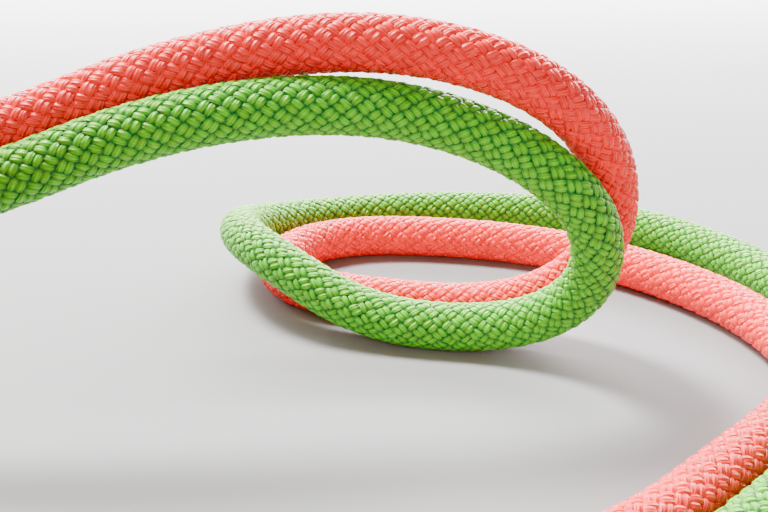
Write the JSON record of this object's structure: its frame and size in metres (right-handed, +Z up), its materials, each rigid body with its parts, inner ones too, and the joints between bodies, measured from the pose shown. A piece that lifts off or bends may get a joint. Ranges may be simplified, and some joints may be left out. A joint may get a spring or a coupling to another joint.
{
  "type": "dynamic climbing rope",
  "caption": "Pair of dynamic climbing half ropes, one coral red and one lime green, laid in an open loop beside their strapped coils.",
  "frame": {"origin": "under the middle of the whole part, on the surface it lies on", "axes": "+Z up; +X from the coils towards the open loop of rope, along the longest extent; +Y to the back, away from the side the part is seen from"},
  "size_m": [0.4206, 0.3793, 0.0797],
  "materials": {
    "green_sheath_nylon": "bright braided nylon with a slight sheen",
    "red_sheath_nylon": "bright braided nylon with a slight sheen",
    "core_nylon": "undyed twisted nylon",
    "end_sleeve": "satin heat-shrink tube",
    "webbing": "flat woven webbing",
    "buckle": "satin moulded nylon"
  },
  "bodies": {
    "root": {"green_sheath": "green_sheath_nylon", "green_core_strand_1": "core_nylon", "green_core_strand_2": "core_nylon", "green_core_strand_3": "core_nylon", "green_core_strand_4": "core_nylon", "green_core_strand_5": "core_nylon", "green_core_strand_6": "core_nylon", "green_core_strand_7": "core_nylon", "green_tail_sleeve": "end_sleeve", "green_coil": "green_sheath_nylon", "green_first_end": "green_sheath_nylon", "green_first_end_sleeve": "end_sleeve", "red_sheath": "red_sheath_nylon", "red_core_strand_1": "core_nylon", "red_core_strand_2": "core_nylon", "red_core_strand_3": "core_nylon", "red_core_strand_4": "core_nylon", "red_core_strand_5": "core_nylon", "red_core_strand_6": "core_nylon", "red_core_strand_7": "core_nylon", "red_tail_sleeve": "end_sleeve", "red_coil": "red_sheath_nylon", "red_first_end": "red_sheath_nylon", "red_first_end_sleeve": "end_sleeve", "first_strap": "webbing", "first_buckle": "buckle", "second_strap": "webbing", "second_buckle": "buckle"}
  },
  "joints": []
}
